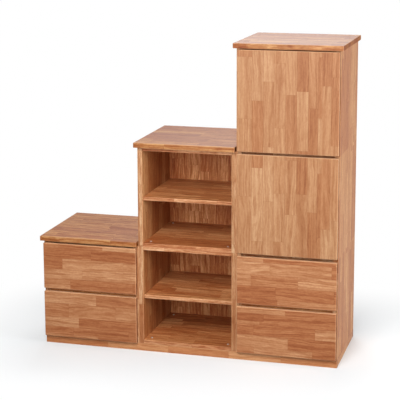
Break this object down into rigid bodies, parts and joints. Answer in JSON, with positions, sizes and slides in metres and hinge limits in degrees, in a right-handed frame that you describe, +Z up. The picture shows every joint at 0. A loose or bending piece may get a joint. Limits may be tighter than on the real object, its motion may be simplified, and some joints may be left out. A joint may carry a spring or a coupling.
{
  "type": "step chest",
  "caption": "Stepped chest of stacked cube modules on one plinth, with drawers, open shelf compartments, hinged doors and overhanging top plates, all opened by finger gaps.",
  "frame": {"origin": "on the floor, in the middle of the overall width and depth", "axes": "+X to the right as seen from the front, +Y to the back, +Z up"},
  "size_m": [1.374, 0.467, 1.407],
  "materials": {
    "carcass_wood": "oiled satin",
    "front_wood": "oiled satin",
    "plate_wood": "oiled satin",
    "plinth_wood": "oiled satin",
    "drawer_wood": "oiled satin",
    "back_wood": "oiled satin",
    "shelf_wood": "oiled satin",
    "steel": "nickel plated satin",
    "clear_pad": "clear soft pad"
  },
  "bodies": {
    "carcass": {"connector_screws": "steel", "drawer_rails": "carcass_wood", "drawer_runners": "drawer_wood", "front_bumpers": "clear_pad", "hinge_arms": "steel", "hinge_mounting_plates": "steel", "low_back_panels": "back_wood", "low_lower_bottom_board": "carcass_wood", "low_lower_side_left": "carcass_wood", "low_lower_side_right": "carcass_wood", "low_lower_top_board": "carcass_wood", "low_top_plate": "plate_wood", "middle_back_panels": "back_wood", "middle_lower_bottom_board": "carcass_wood", "middle_lower_shelf": "shelf_wood", "middle_lower_side_left": "carcass_wood", "middle_lower_side_right": "carcass_wood", "middle_lower_top_board": "carcass_wood", "middle_top_plate": "plate_wood", "middle_upper_bottom_board": "carcass_wood", "middle_upper_shelf": "shelf_wood", "middle_upper_side_left": "carcass_wood", "middle_upper_side_right": "carcass_wood", "middle_upper_top_board": "carcass_wood", "plinth_back": "plinth_wood", "plinth_cross_rails": "plinth_wood", "plinth_ends": "plinth_wood", "plinth_front": "plinth_wood", "shelf_pins": "steel", "tower_back_panels": "back_wood", "tower_centre_bottom_board": "carcass_wood", "tower_centre_side_left": "carcass_wood", "tower_centre_side_right": "carcass_wood", "tower_centre_top_board": "carcass_wood", "tower_lower_bottom_board": "carcass_wood", "tower_lower_side_left": "carcass_wood", "tower_lower_side_right": "carcass_wood", "tower_lower_top_board": "carcass_wood", "tower_top_plate": "plate_wood", "tower_upper_bottom_board": "carcass_wood", "tower_upper_side_left": "carcass_wood", "tower_upper_side_right": "carcass_wood", "tower_upper_top_board": "carcass_wood", "wood_screws": "steel"},
    "low_lower_drawer": {"low_lower_drawer_front": "front_wood", "low_lower_drawer_box": "drawer_wood", "low_lower_drawer_bottom": "drawer_wood"},
    "low_upper_drawer": {"low_upper_drawer_front": "front_wood", "low_upper_drawer_box": "drawer_wood", "low_upper_drawer_bottom": "drawer_wood"},
    "tower_lower_drawer": {"tower_lower_drawer_front": "front_wood", "tower_lower_drawer_box": "drawer_wood", "tower_lower_drawer_bottom": "drawer_wood"},
    "tower_upper_drawer": {"tower_upper_drawer_front": "front_wood", "tower_upper_drawer_box": "drawer_wood", "tower_upper_drawer_bottom": "drawer_wood"},
    "tower_centre_door": {"tower_centre_door": "front_wood", "tower_centre_door_hinge_cups": "steel"},
    "tower_upper_door": {"tower_upper_door": "front_wood", "tower_upper_door_hinge_cups": "steel"}
  },
  "joints": [
    {"name": "low_lower_drawer_slide", "type": "slide", "parent": "carcass", "child": "low_lower_drawer", "axis": [0, -1, 0], "range_m": [0, 0.3]},
    {"name": "low_upper_drawer_slide", "type": "slide", "parent": "carcass", "child": "low_upper_drawer", "axis": [0, -1, 0], "range_m": [0, 0.3]},
    {"name": "tower_lower_drawer_slide", "type": "slide", "parent": "carcass", "child": "tower_lower_drawer", "axis": [0, -1, 0], "range_m": [0, 0.3]},
    {"name": "tower_upper_drawer_slide", "type": "slide", "parent": "carcass", "child": "tower_upper_drawer", "axis": [0, -1, 0], "range_m": [0, 0.3]},
    {"name": "tower_centre_door_hinge", "type": "hinge", "parent": "carcass", "child": "tower_centre_door", "pos_m": [0.6725, -0.2135, 0.71], "axis": [0, 0, 1], "range_deg": [0, 100]},
    {"name": "tower_upper_door_hinge", "type": "hinge", "parent": "carcass", "child": "tower_upper_door", "pos_m": [0.6725, -0.2135, 1.16], "axis": [0, 0, 1], "range_deg": [0, 100]}
  ]
}
